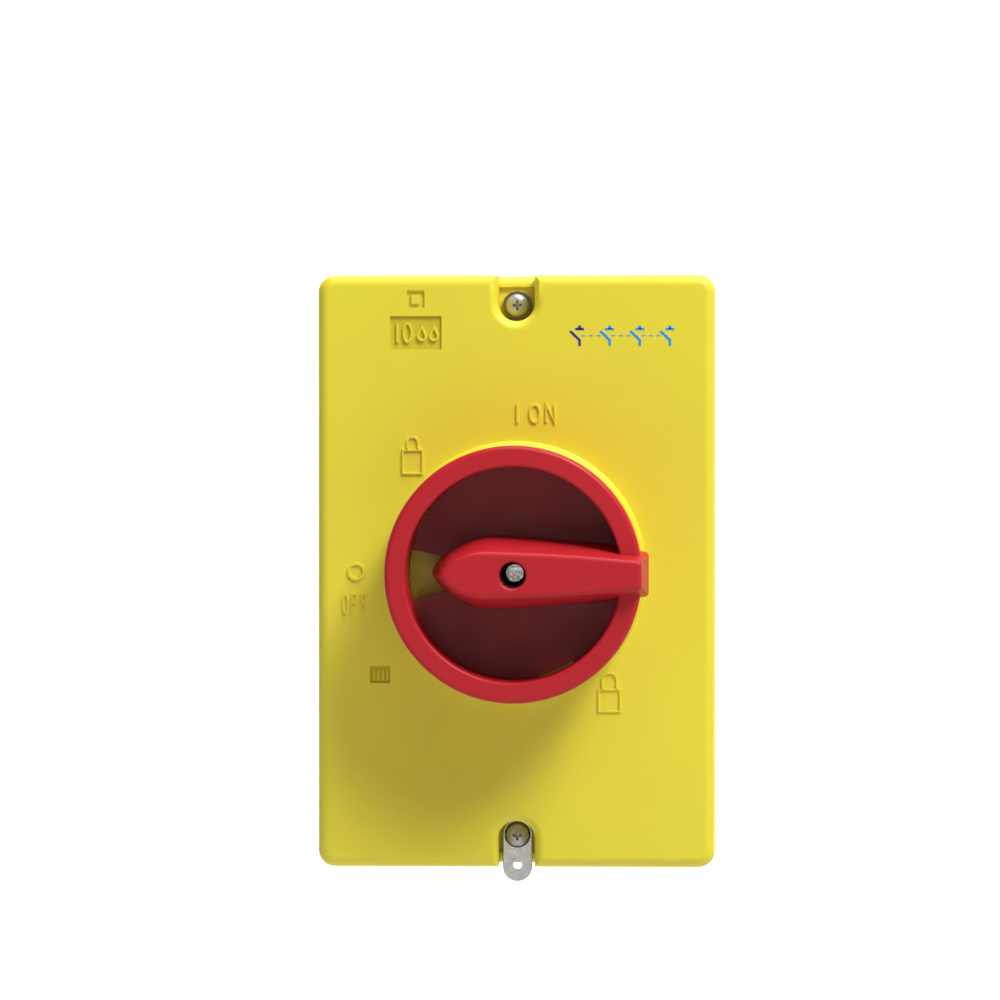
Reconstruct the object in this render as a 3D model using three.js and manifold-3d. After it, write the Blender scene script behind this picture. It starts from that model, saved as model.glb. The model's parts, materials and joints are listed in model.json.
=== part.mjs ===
// Enclosed rotary isolator switch: wall-mounted housing, lift-off cover with a padlockable red handle,
// and a two-deck, four-pole knife-contact switch on a DIN rail inside.
// Units are millimetres. The wall is the plane y = 0, the front faces -Y, +Z is up and +X is to the
// right as seen from the front. "Depth" is the distance from the wall towards the front (depth = -y).

import * as THREE from 'three';
import { mergeVertices } from 'three/addons/utils/BufferGeometryUtils.js';
import { ConvexGeometry } from 'three/addons/geometries/ConvexGeometry.js';
import Module from 'manifold-3d';

const wasm = await Module();
wasm.setup();

// ---- Driving dimensions -------------------------------------------------------------------------

const GAP = 0.3; // clearance kept between neighbouring pieces
const MERGE_DISTANCE = 1e-4;
const ARC_STEPS = 5; // steps in a quarter-round outline corner
const ROUND = 36; // sides of a large turned shape
const BIG_ROUND = 48; // sides of the handle and its boss
const SMALL_ROUND = 12; // sides of a screw or a small bore
const DEGREE = Math.PI / 180;

// Enclosure
const WIDTH = 100.6;
const HEIGHT = 150;
const CORNER_RADIUS = 4.3;
const EDGE_FILLET = 2.8;
const HOUSING_INSET = 0.4; // the housing is this much smaller than the cover, all round
const BACK_THICKNESS = 3;
const WALL_INNER_INSET = 3.6; // from the cover's outside to the inner face of the walls
const LIP_THICKNESS = 1.5; // outer lip of the cover that overlaps the housing's tongue
const RIM_DEPTH = 42;
const TONGUE_DEPTH = 43.5;
const GASKET_THICKNESS = 1.8;
const COVER_INNER_DEPTH = 70;
const FACE_DEPTH = 73;
const BOSS_DEPTH = 76;
const BOSS_RADIUS = 32.7;
const BOSS_GROOVE = { inner: 16, outer: 29, depth: 72.8 }; // ring-shaped recess behind the cup's floor

// Cover screws, their pockets and the seal tab
const POCKET_WIDTH = 9.3;
const POCKET_CENTRE = 68;
const POCKET_FLOOR_DEPTH = 60;
const POCKET_WALL = 2.2;
const POCKET_BOTTOM = 3; // thickness behind a pocket's floor
const POCKET_LIP = { from: 72.2, radius: 2.6, facets: 3 }; // low outer wall of a pocket, rounded over
const SCREW_SEAT = { radius: 3.9, depth: 61 };
const SCREW_HEIGHT = 67.5;
const SCREW_RADIUS = 2;
const COVER_SCREW = { length: 38, headRadius: 2.9, headHeight: 2.4 };
const WASHER_RADIUS = 3.8;
const PILLAR_RADIUS = 4.5;
const PILLAR_DEPTH = 40;
const TAB_WIDTH = 7.5;
const TAB_TOP = -63.75;
const TAB_BOTTOM = -79.5;
const TAB_THICKNESS = 1;
const TAB_WIRE_HOLE = { radius: 1.15, height: -75.3 };

// Handle
const HUB_RADIUS = 9;
const HUB_REAR_DEPTH = 64;
const CUP_REAR_DEPTH = BOSS_DEPTH + 0.4;
const CUP_FLOOR_DEPTH = CUP_REAR_DEPTH + 3;
const CUP_FRONT_DEPTH = 98.4;
const CUP_RADIUS = 32;
const CUP_INNER_RADIUS = 26.8;
const GRIP_FRONT_DEPTH = 103;
const GRIP_BORE_RADIUS = 3.3;
const WINDOW = { inner: 18, outer: 26.7, centre: 181.5, half: 14 };
const PADLOCK_SLOTS = [{ centre: -67 }, { centre: 150 }];
const PADLOCK_SLOT = { inner: 26.3, outer: 34, half: 10, toDepth: 84.4 };

// Switch
const RAIL_FRONT_DEPTH = 15.8;
const SWITCH_HALF_WIDTH = 24;
const BASE_THICKNESS = 4;
const DECK_THICKNESS = 13;
const CHAMBER_RADIUS = 18;
const ROTOR_RADIUS = 11.5;
const CONTACT_OFFSET = 8; // each pole lies this far left or right of the shaft
const CONTACT_WIDTH = 6;
const CONTACT_THICKNESS = 1.2;
const CONTACT_TIP = 11.5; // height above the shaft where a fixed contact's tip starts
const BLADE_LENGTH = 14;
const BLADE_WIDTH = 5;
const BLADE_THICKNESS = 0.8;
const BLADE_WEB = 6;
const SHAFT_SIDE = 6.5;
const SHAFT_TIP_RADIUS = 2.5;
const SHAFT_SHOULDER_DEPTH = 72;
const SHAFT_TIP_DEPTH = 84;
const MECHANISM = { width: 44, height: 36, thickness: 13 };
const DECKS = [
  { name: 'rear', halfHeight: 36, terminal: 31.5 },
  { name: 'front', halfHeight: 27, terminal: 22.6 },
];
const SIDES = [{ name: 'left', sign: -1 }, { name: 'right', sign: 1 }];
const ENDS = [{ name: 'top', sign: 1 }, { name: 'bottom', sign: -1 }];
const TIE_SCREWS = [{ name: 'left', x: -19, z: 13 }, { name: 'right', x: 19, z: -13 }];

const FINISHES = {
  yellow_plastic: { color: 0xe5d53d, roughness: 0.42, metalness: 0 },
  red_plastic: { color: 0xb42e36, roughness: 0.38, metalness: 0 },
  housing_plastic: { color: 0x2b2d30, roughness: 0.5, metalness: 0 },
  switch_plastic: { color: 0x3a3d42, roughness: 0.5, metalness: 0 },
  rotor_plastic: { color: 0xd9d4c4, roughness: 0.5, metalness: 0 },
  seal_rubber: { color: 0x1c1c1c, roughness: 0.85, metalness: 0 },
  zinc_steel: { color: 0xb4b2ae, roughness: 0.32, metalness: 1 },
  brass: { color: 0xc2a14e, roughness: 0.35, metalness: 1 },
  copper: { color: 0xb87346, roughness: 0.35, metalness: 1 },
};

// ---- Solids and outlines ------------------------------------------------------------------------

function signedVolume(positions, triangles) {
  const [a, b, c] = [new THREE.Vector3(), new THREE.Vector3(), new THREE.Vector3()];
  let volume = 0;
  for (let i = 0; i < triangles.length; i += 3) {
    a.fromArray(positions, 3 * triangles[i]);
    b.fromArray(positions, 3 * triangles[i + 1]);
    c.fromArray(positions, 3 * triangles[i + 2]);
    volume += a.dot(b.cross(c)) / 6;
  }
  return volume;
}

// Turns a closed geometry into a solid with merged corners, no empty triangles and outward faces.
function solid(geometry) {
  const plain = geometry.clone();
  plain.deleteAttribute('normal');
  plain.deleteAttribute('uv');
  const merged = mergeVertices(plain, MERGE_DISTANCE);
  const positions = new Float32Array(merged.attributes.position.array);
  const source = merged.index.array;
  const triangles = [];
  for (let i = 0; i < source.length; i += 3) {
    const [a, b, c] = source.slice(i, i + 3);
    if (a !== b && b !== c && c !== a) triangles.push(a, b, c);
  }
  if (signedVolume(positions, triangles) < 0) triangles.reverse();
  const mesh = new wasm.Mesh({
    numProp: 3,
    vertProperties: positions,
    triVerts: new Uint32Array(triangles),
  });
  return new wasm.Manifold(mesh);
}

function geometryOf(manifold) {
  const mesh = manifold.getMesh();
  const geometry = new THREE.BufferGeometry();
  geometry.setAttribute('position', new THREE.BufferAttribute(mesh.vertProperties, 3));
  geometry.setIndex(new THREE.BufferAttribute(mesh.triVerts, 1));
  geometry.computeVertexNormals();
  return geometry;
}

// An outline drawn as seen from the front, made into a slab between two depths.
function slab(shape, fromDepth, toDepth) {
  const geometry = new THREE.ExtrudeGeometry(shape, {
    depth: toDepth - fromDepth,
    bevelEnabled: false,
    curveSegments: ARC_STEPS,
  });
  geometry.translate(0, 0, fromDepth);
  geometry.rotateX(Math.PI / 2);
  return solid(geometry);
}

// A box between two depths, centred on (x, z).
function block(width, height, fromDepth, toDepth, x = 0, z = 0) {
  const geometry = new THREE.BoxGeometry(width, toDepth - fromDepth, height);
  geometry.translate(x, -(fromDepth + toDepth) / 2, z);
  return solid(geometry);
}

// A round bar along the depth axis.
function rod(radius, fromDepth, toDepth, x = 0, z = 0, sides = SMALL_ROUND) {
  const geometry = new THREE.CylinderGeometry(radius, radius, toDepth - fromDepth, sides);
  geometry.translate(x, -(fromDepth + toDepth) / 2, z);
  return solid(geometry);
}

// A round bar along Z.
function uprightRod(radius, fromZ, toZ, x, depth, sides) {
  const geometry = new THREE.CylinderGeometry(radius, radius, toZ - fromZ, sides);
  geometry.rotateX(Math.PI / 2);
  geometry.translate(x, -depth, (fromZ + toZ) / 2);
  return solid(geometry);
}

// A shape turned about the depth axis. The profile is a list of [radius, depth].
function turned(profile, sides = ROUND) {
  const points = profile.map(([radius, depth]) => new THREE.Vector2(radius, -depth));
  return solid(new THREE.LatheGeometry(points, sides));
}

function union(...solids) {
  return solids.reduce((whole, next) => whole.add(next));
}

function cut(body, ...tools) {
  return tools.reduce((whole, tool) => whole.subtract(tool), body);
}

function roundedRect(width, height, radius) {
  const [x, y] = [width / 2, height / 2];
  const shape = new THREE.Shape();
  shape.absarc(x - radius, y - radius, radius, 0, Math.PI / 2, false);
  shape.absarc(radius - x, y - radius, radius, Math.PI / 2, Math.PI, false);
  shape.absarc(radius - x, radius - y, radius, Math.PI, 1.5 * Math.PI, false);
  shape.absarc(x - radius, radius - y, radius, 1.5 * Math.PI, 2 * Math.PI, false);
  return shape;
}

// A U-shaped outline round (0, centre) that runs open past the edge at height "end".
function uOutline(halfWidth, centre, end) {
  const shape = new THREE.Shape();
  const up = Math.sign(end - centre);
  shape.moveTo(halfWidth, end);
  shape.lineTo(halfWidth, centre);
  shape.absarc(0, centre, halfWidth, 0, -up * Math.PI, up > 0);
  shape.lineTo(-halfWidth, end);
  return shape;
}

// Part of a ring round the shaft axis, from one radius to another, in degrees.
function ringSector(inner, outer, centre, half) {
  const [from, to] = [(centre - half) * DEGREE, (centre + half) * DEGREE];
  const shape = new THREE.Shape();
  shape.absarc(0, 0, outer, from, to, false);
  shape.absarc(0, 0, inner, to, from, true);
  return shape;
}

function piece(name, manifold, finish) {
  const mesh = new THREE.Mesh(geometryOf(manifold), new THREE.MeshStandardMaterial(FINISHES[finish]));
  mesh.name = name;
  return mesh;
}

// Sets a mesh or a group at (x, z) and moves it forward by a depth.
function place(object, depth, x = 0, z = 0) {
  object.position.set(x, -depth, z);
  return object;
}

// A pan-head screw along the depth axis with its head's seat at depth 0 and its tip behind it.
function panHeadScrew(shankRadius, shankLength, headRadius, headHeight) {
  const profile = [
    [0, -shankLength],
    [shankRadius, -shankLength],
    [shankRadius, 0],
    [headRadius, 0],
    [headRadius, headHeight * 0.55],
    [headRadius * 0.7, headHeight],
    [0, headHeight],
  ];
  return turned(profile, SMALL_ROUND);
}

// The same screw with a straight driver slot across its head.
function slottedScrew(shankRadius, shankLength, headRadius, headHeight) {
  const slot = block(headRadius * 3, headRadius * 0.28, headHeight * 0.5, headHeight * 2);
  return cut(panHeadScrew(shankRadius, shankLength, headRadius, headHeight), slot);
}

// The same screw with a cross recess.
function crossScrew(shankRadius, shankLength, headRadius, headHeight) {
  const [long, narrow] = [headRadius * 1.15, headRadius * 0.3];
  const head = panHeadScrew(shankRadius, shankLength, headRadius, headHeight);
  const [from, to] = [headHeight * 0.4, headHeight * 2];
  return cut(head, block(long, narrow, from, to), block(narrow, long, from, to));
}

// ---- Housing ------------------------------------------------------------------------------------

const WALL_FIXINGS = { x: 36, z: 58, bore: 2.5, collar: 5, collarDepth: 6 };
const KNOCKOUT = { x: 24, depth: 23, radius: 12.5, groove: 0.9, cut: 0.8 };
const RAIL_POST = { x: 32, radius: 6, depth: 8, bore: 1.8 };
const EARTH = { x: -23, z: -52, width: 22, height: 8, rear: 9.3, front: 15.3, pitch: 11 };

function knockoutGrooves() {
  const edge = HEIGHT / 2 - HOUSING_INSET - KNOCKOUT.cut;
  const grooves = [];
  for (const { sign } of ENDS) {
    const [from, to] = sign > 0 ? [edge, edge + 2] : [-edge - 2, -edge];
    for (const side of SIDES) {
      const x = side.sign * KNOCKOUT.x;
      const disc = (radius) => uprightRod(radius, from, to, x, KNOCKOUT.depth, 24);
      grooves.push(cut(disc(KNOCKOUT.radius + KNOCKOUT.groove), disc(KNOCKOUT.radius)));
    }
  }
  return grooves;
}

function housingShell() {
  const outer = roundedRect(WIDTH - 2 * HOUSING_INSET, HEIGHT - 2 * HOUSING_INSET, CORNER_RADIUS);
  const tongueInset = LIP_THICKNESS + GAP;
  const tongue = roundedRect(WIDTH - 2 * tongueInset, HEIGHT - 2 * tongueInset, 2.6);
  const inner = roundedRect(WIDTH - 2 * WALL_INNER_INSET, HEIGHT - 2 * WALL_INNER_INSET, 1.6);
  const walls = union(slab(outer, 0, RIM_DEPTH), slab(tongue, RIM_DEPTH - 1, TONGUE_DEPTH));
  return cut(walls, slab(inner, BACK_THICKNESS, TONGUE_DEPTH + 1));
}

function rearHousing() {
  const inside = BACK_THICKNESS - 1; // feet start inside the back wall, so they join it
  let body = housingShell();
  for (const { sign } of ENDS) {
    const z = sign * SCREW_HEIGHT;
    const rib = block(4, 8, inside, PILLAR_DEPTH, 0, z + sign * 2);
    body = union(body, rod(PILLAR_RADIUS, inside, PILLAR_DEPTH, 0, z), rib);
    body = cut(body, rod(SCREW_RADIUS + GAP, PILLAR_DEPTH - 22, PILLAR_DEPTH + 1, 0, z));
    for (const side of SIDES) {
      const [x, fixingZ] = [side.sign * WALL_FIXINGS.x, sign * WALL_FIXINGS.z];
      body = union(body, rod(WALL_FIXINGS.collar, inside, WALL_FIXINGS.collarDepth, x, fixingZ));
      body = cut(body, rod(WALL_FIXINGS.bore, -1, WALL_FIXINGS.collarDepth + 1, x, fixingZ));
    }
  }
  for (const side of SIDES) {
    const x = side.sign * RAIL_POST.x;
    body = union(body, rod(RAIL_POST.radius, inside, RAIL_POST.depth, x, 0));
    body = cut(body, rod(RAIL_POST.bore, BACK_THICKNESS, RAIL_POST.depth + 1, x, 0));
  }
  const earthFoot = block(EARTH.width - 6, EARTH.height, inside, EARTH.rear - GAP, EARTH.x, EARTH.z);
  const grooved = cut(union(body, earthFoot), ...knockoutGrooves());
  return piece('rear_housing', grooved, 'housing_plastic');
}

function coverGasket() {
  const outerInset = LIP_THICKNESS + GAP;
  const outer = roundedRect(WIDTH - 2 * outerInset, HEIGHT - 2 * outerInset, 2.6);
  const inner = roundedRect(WIDTH - 2 * WALL_INNER_INSET + 0.4, HEIGHT - 2 * WALL_INNER_INSET + 0.4, 1.6);
  const ring = cut(slab(outer, 0, GASKET_THICKNESS), slab(inner, -1, GASKET_THICKNESS + 1));
  return place(piece('cover_gasket', ring, 'seal_rubber'), TONGUE_DEPTH + GAP);
}

function dinRail() {
  const [length, thickness, back] = [80, 1, RAIL_POST.depth + GAP];
  let rail = block(length, 27, back, back + thickness);
  for (const { sign } of ENDS) {
    const wall = block(length, thickness, back, RAIL_FRONT_DEPTH, 0, sign * 13);
    const brim = block(length, 5, RAIL_FRONT_DEPTH - thickness, RAIL_FRONT_DEPTH, 0, sign * 15);
    rail = union(rail, wall, brim);
  }
  const holes = SIDES.map(({ sign }) => rod(RAIL_POST.bore, back - 1, back + 2, sign * RAIL_POST.x, 0));
  return piece('din_rail', cut(rail, ...holes), 'zinc_steel');
}

function railScrews() {
  const seat = RAIL_POST.depth + 1 + 2 * GAP;
  return SIDES.map(({ name, sign }) => {
    const screw = piece(`rail_screw_${name}`, crossScrew(1.5, 5.5, 3, 2), 'zinc_steel');
    return place(screw, seat, sign * RAIL_POST.x, 0);
  });
}

function earthTerminal() {
  const xs = SIDES.map(({ sign }) => EARTH.x + sign * EARTH.pitch / 2);
  const bores = xs.map((x) => rod(2.05, EARTH.front - 4, EARTH.front + 1, x, EARTH.z));
  const bar = block(EARTH.width, EARTH.height, EARTH.rear, EARTH.front, EARTH.x, EARTH.z);
  const screws = SIDES.map(({ name }, i) => {
    const screw = piece(`earth_screw_${name}`, slottedScrew(1.7, 3.5, 3.2, 2.4), 'zinc_steel');
    return place(screw, EARTH.front + GAP, xs[i], EARTH.z);
  });
  return [piece('earth_bar', cut(bar, ...bores), 'brass'), ...screws];
}

// ---- Switch: base, decks, contacts, mechanism -----------------------------------------------------
// Everything here is placed from the front face of the DIN rail.

const BASE_REAR = GAP;
const DECK_PITCH = DECK_THICKNESS + GAP;
const FIRST_DECK = BASE_REAR + BASE_THICKNESS + GAP;
const MECHANISM_REAR = FIRST_DECK + DECKS.length * DECK_PITCH;
const MECHANISM_FRONT = MECHANISM_REAR + MECHANISM.thickness;
const DECK_FRONT_WALL = 1.5;
const CONTACT_PLANE = 5.6; // depth inside a deck of the contacts' middle plane
const SHAFT_HOLE = 5.5;
const TIE_RADIUS = 1.5;
const LATCH = { width: 14, rear: -3.8, front: -1.3, lip: -14.9, end: -44 };

function tieBores(radius, fromDepth, toDepth) {
  return TIE_SCREWS.map(({ x, z }) => rod(radius, fromDepth, toDepth, x, z));
}

function switchBase() {
  const front = BASE_REAR + BASE_THICKNESS;
  const plate = block(2 * SWITCH_HALF_WIDTH, 2 * DECKS[0].halfHeight, BASE_REAR, front);
  const hookWall = block(30, 2, -3.3, BASE_REAR + 1, 0, 18.8);
  const hookLip = block(30, 4.8, -3.3, -1.3, 0, 17.4);
  const guides = SIDES.map(({ sign }) => block(2, 15, LATCH.rear, BASE_REAR + 1, sign * 8.4, -27));
  const body = union(plate, hookWall, hookLip, ...guides);
  const bored = cut(body, ...tieBores(TIE_RADIUS + GAP, BASE_REAR + 1, front + 1));
  return piece('switch_base', bored, 'switch_plastic');
}

function dinLatch() {
  const middle = (LATCH.lip + LATCH.end) / 2;
  const bar = block(LATCH.width, LATCH.lip - LATCH.end, LATCH.rear + 0.5, LATCH.front, 0, middle);
  const driverSlot = block(6, 2.4, LATCH.rear - 1, LATCH.front + 1, 0, LATCH.end + 3.4);
  return piece('din_latch', cut(bar, driverSlot), 'rotor_plastic');
}

// One pole's channel through a deck: the contact strip's slot and the open terminal well.
function contactChannel(deck, x, end) {
  const plane = CONTACT_PLANE;
  const [tip, edge] = [CONTACT_TIP, deck.halfHeight + 1];
  const slotDepth = CONTACT_THICKNESS / 2 + GAP;
  const slotMiddle = end * (tip + edge) / 2;
  const slotWidth = CONTACT_WIDTH + 2 * GAP;
  const slot = block(slotWidth, edge - tip, plane - slotDepth, plane + slotDepth, x, slotMiddle);
  const wellStart = deck.terminal - 4.2;
  const well = block(8.6, edge - wellStart, plane, DECK_THICKNESS + 1, x, end * (wellStart + edge) / 2);
  const bore = rod(2, plane - 5, plane, x, end * deck.terminal);
  return union(slot, well, bore);
}

function deckBody(deck) {
  const full = block(2 * SWITCH_HALF_WIDTH, 2 * deck.halfHeight, 0, DECK_THICKNESS);
  const chamber = rod(CHAMBER_RADIUS, -1, DECK_THICKNESS - DECK_FRONT_WALL, 0, 0, ROUND);
  const shaftHole = rod(SHAFT_HOLE, 0, DECK_THICKNESS + 1);
  const channels = [];
  for (const side of SIDES) {
    for (const end of ENDS) channels.push(contactChannel(deck, side.sign * CONTACT_OFFSET, end.sign));
  }
  const bores = tieBores(TIE_RADIUS + GAP, -1, DECK_THICKNESS + 1);
  const body = cut(full, chamber, shaftHole, ...channels, ...bores);
  return piece(`contact_deck_${deck.name}`, body, 'switch_plastic');
}

function fixedContact(deck, side, end) {
  const length = deck.terminal + 3.4 - CONTACT_TIP;
  const half = CONTACT_THICKNESS / 2;
  const strip = block(CONTACT_WIDTH, length, -half, half, 0, end.sign * length / 2);
  const hole = rod(2, -1, 1, 0, end.sign * (deck.terminal - CONTACT_TIP));
  const name = `fixed_contact_${deck.name}_${end.name}_${side.name}`;
  const mesh = piece(name, cut(strip, hole), 'copper');
  return place(mesh, CONTACT_PLANE, side.sign * CONTACT_OFFSET, end.sign * CONTACT_TIP);
}

function terminalScrew(deck, side, end) {
  const name = `terminal_screw_${deck.name}_${end.name}_${side.name}`;
  const mesh = piece(name, slottedScrew(1.7, 4.8, 3.2, 2.6), 'zinc_steel');
  const seat = CONTACT_PLANE + CONTACT_THICKNESS / 2 + GAP;
  return place(mesh, seat, side.sign * CONTACT_OFFSET, end.sign * deck.terminal);
}

function deckGroup(deck, index) {
  const group = place(new THREE.Group(), FIRST_DECK + index * DECK_PITCH);
  group.add(deckBody(deck));
  for (const side of SIDES) {
    for (const end of ENDS) group.add(fixedContact(deck, side, end), terminalScrew(deck, side, end));
  }
  return group;
}

// The moving knife contact: two blades joined by a web, which straddle the fixed contacts' tips.
function movingContact(clearance = 0) {
  const inner = CONTACT_THICKNESS / 2 + GAP;
  const outer = inner + BLADE_THICKNESS + clearance;
  const width = BLADE_WIDTH + 2 * clearance;
  const rear = block(width, 2 * BLADE_LENGTH, -outer, clearance - inner);
  const front = block(width, 2 * BLADE_LENGTH, inner - clearance, outer);
  return union(rear, front, block(width, 2 * (BLADE_WEB + clearance), -outer, outer));
}

// A deck's rotor, drawn in the ON position with its blades upright, and its two moving contacts.
function rotorGroup(deck, index) {
  const group = place(new THREE.Group(), FIRST_DECK + index * DECK_PITCH);
  const drum = rod(ROTOR_RADIUS, GAP, DECK_THICKNESS - DECK_FRONT_WALL - GAP, 0, 0, 32);
  const shaftHole = block(SHAFT_SIDE + 2 * GAP, SHAFT_SIDE + 2 * GAP, -1, DECK_THICKNESS);
  const slots = SIDES.map(({ sign }) => {
    return movingContact(GAP).translate([sign * CONTACT_OFFSET, -CONTACT_PLANE, 0]);
  });
  group.add(piece(`rotor_${deck.name}`, cut(drum, shaftHole, ...slots), 'rotor_plastic'));
  for (const { name, sign } of SIDES) {
    const blades = piece(`moving_contact_${deck.name}_${name}`, movingContact(), 'copper');
    group.add(place(blades, CONTACT_PLANE, sign * CONTACT_OFFSET, 0));
  }
  return group;
}

const CAM = { radius: 10.8, notch: 2.4, rear: 2, front: 7.5 };
const PLUNGER = { tip: 11.2, back: 16, half: 2.6, middle: 4.75 };
const SPRING = { radius: 1.8, wire: 0.35, turns: 4, stepsPerTurn: 7, end: 20.2 };

function detentCam() {
  const disc = rod(CAM.radius, CAM.rear, CAM.front, 0, 0, ROUND);
  const notches = [0, 1, 2, 3].map((quarter) => {
    const angle = quarter * Math.PI / 2;
    const [x, z] = [CAM.radius * Math.cos(angle), CAM.radius * Math.sin(angle)];
    return rod(CAM.notch, 0, CAM.front + 2, x, z, SMALL_ROUND);
  });
  const hole = block(SHAFT_SIDE + 2 * GAP, SHAFT_SIDE + 2 * GAP, 0, CAM.front + 2);
  return place(piece('detent_cam', cut(disc, hole, ...notches), 'rotor_plastic'), MECHANISM_REAR);
}

function detentPlunger(side) {
  const length = PLUNGER.back - PLUNGER.tip;
  const size = 2 * PLUNGER.half;
  const { half } = PLUNGER;
  const bar = block(length - half, size, -half, half, side.sign * (length + half) / 2);
  const nose = rod(PLUNGER.half, -PLUNGER.half, PLUNGER.half, side.sign * PLUNGER.half, 0);
  const mesh = piece(`detent_plunger_${side.name}`, union(bar, nose), 'zinc_steel');
  return place(mesh, MECHANISM_REAR + PLUNGER.middle, side.sign * PLUNGER.tip, 0);
}

class CoilCurve extends THREE.Curve {
  getPoint(t, target = new THREE.Vector3()) {
    const angle = 2 * Math.PI * SPRING.turns * t;
    const travel = (SPRING.end - PLUNGER.back - 2 * (SPRING.wire + GAP)) * t;
    return target.set(travel, SPRING.radius * Math.cos(angle), SPRING.radius * Math.sin(angle));
  }
}

function detentSpring(side) {
  const section = new THREE.Shape();
  section.absarc(0, 0, SPRING.wire, 0, 2 * Math.PI, false);
  const coil = new THREE.ExtrudeGeometry(section, {
    steps: SPRING.turns * SPRING.stepsPerTurn,
    curveSegments: 3,
    extrudePath: new CoilCurve(),
  });
  if (side.sign < 0) coil.rotateY(Math.PI);
  const mesh = piece(`detent_spring_${side.name}`, solid(coil), 'zinc_steel');
  const start = side.sign * (PLUNGER.back + SPRING.wire + GAP);
  return place(mesh, MECHANISM_REAR + PLUNGER.middle, start, 0);
}

function mechanismHousing() {
  const { width, height, thickness } = MECHANISM;
  const wall = block(width, height, 0, thickness);
  const collar = rod(9, thickness - 1, thickness + 2, 0, 0, 32);
  const chamber = rod(CAM.radius + 0.8, -1, CAM.front + 1, 0, 0, ROUND);
  const channelHalf = PLUNGER.half + GAP;
  const channel = block(2 * SPRING.end, 2 * channelHalf, -1, PLUNGER.middle + channelHalf);
  const shaftHole = rod(SHAFT_HOLE, 0, thickness + 3);
  const body = cut(union(wall, collar), chamber, channel, shaftHole, ...tieBores(TIE_RADIUS + GAP, -1, 20));
  return place(piece('mechanism_housing', body, 'switch_plastic'), MECHANISM_REAR);
}

function tieScrews() {
  const length = MECHANISM_FRONT + GAP - (BASE_REAR + 2);
  return TIE_SCREWS.map(({ name, x, z }) => {
    const screw = piece(`tie_screw_${name}`, crossScrew(TIE_RADIUS, length, 2.8, 2), 'zinc_steel');
    return place(screw, MECHANISM_FRONT + GAP, x, z);
  });
}

function switchShaft() {
  const rear = FIRST_DECK + 1;
  const shoulder = SHAFT_SHOULDER_DEPTH - RAIL_FRONT_DEPTH;
  const tipEnd = SHAFT_TIP_DEPTH - RAIL_FRONT_DEPTH;
  const bar = block(SHAFT_SIDE, SHAFT_SIDE, rear, shoulder);
  const tip = turned([
    [0, shoulder - 1],
    [SHAFT_TIP_RADIUS, shoulder - 1],
    [SHAFT_TIP_RADIUS, tipEnd - 0.25],
    [SHAFT_TIP_RADIUS - 0.25, tipEnd],
    [0, tipEnd],
  ], 18);
  return piece('switch_shaft', union(bar, tip), 'zinc_steel');
}

function switchAssembly() {
  const group = place(new THREE.Group(), RAIL_FRONT_DEPTH);
  group.add(switchBase(), dinLatch(), mechanismHousing(), ...tieScrews());
  group.add(...SIDES.flatMap((side) => [detentPlunger(side), detentSpring(side)]));
  const turning = new THREE.Group();
  turning.rotation.y = Math.PI / 2; // at rest the switch is OFF, a quarter turn from the drawn position
  turning.add(switchShaft(), detentCam());
  DECKS.forEach((deck, index) => {
    group.add(deckGroup(deck, index));
    turning.add(rotorGroup(deck, index));
  });
  group.add(turning);
  return group;
}

// ---- Cover --------------------------------------------------------------------------------------

const COVER_REAR = RIM_DEPTH + GAP;
const LEDGE_DEPTH = TONGUE_DEPTH + 2 * GAP + GASKET_THICKNESS; // rear of the wall, inside the lip
const SEAL_RECESS = { radius: 13.6, depth: 73.6 };
const RATING_PANEL = { x: -25.4, z: 60.4, width: 13, height: 8.4, depth: 0.6 };
const ON_BAR = { x: 0.3, z: 39.5, width: 1.2, height: 6 };
const OFF_RING = { x: -40.5, z: 0, outer: 2.4, inner: 1.5 };
const MARK_HEIGHT = 0.4;

// The outer block of the cover, with a rounded front edge.
function coverBlank() {
  const inset = 2 * EDGE_FILLET;
  const outline = roundedRect(WIDTH - inset, HEIGHT - inset, CORNER_RADIUS - EDGE_FILLET);
  const from = COVER_REAR - 2 * EDGE_FILLET;
  const geometry = new THREE.ExtrudeGeometry(outline, {
    depth: FACE_DEPTH - EDGE_FILLET - from,
    curveSegments: ARC_STEPS,
    bevelThickness: EDGE_FILLET,
    bevelSize: EDGE_FILLET,
    bevelSegments: 4,
  });
  geometry.translate(0, 0, from);
  geometry.rotateX(Math.PI / 2);
  const keep = block(WIDTH + 2, HEIGHT + 2, COVER_REAR, FACE_DEPTH + 1);
  return solid(geometry).intersect(keep);
}

function coverBoss() {
  return turned([
    [0, COVER_INNER_DEPTH + 1],
    [BOSS_RADIUS, COVER_INNER_DEPTH + 1],
    [BOSS_RADIUS, FACE_DEPTH],
    [BOSS_RADIUS - 0.9, FACE_DEPTH + 0.9],
    [BOSS_RADIUS - 1.3, BOSS_DEPTH - 0.8],
    [BOSS_RADIUS - 2.1, BOSS_DEPTH],
    [0, BOSS_DEPTH],
  ], BIG_ROUND);
}

function uPocket(sign, halfWidth, end, fromDepth, toDepth) {
  return slab(uOutline(halfWidth, sign * POCKET_CENTRE, sign * end), fromDepth, toDepth);
}

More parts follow.
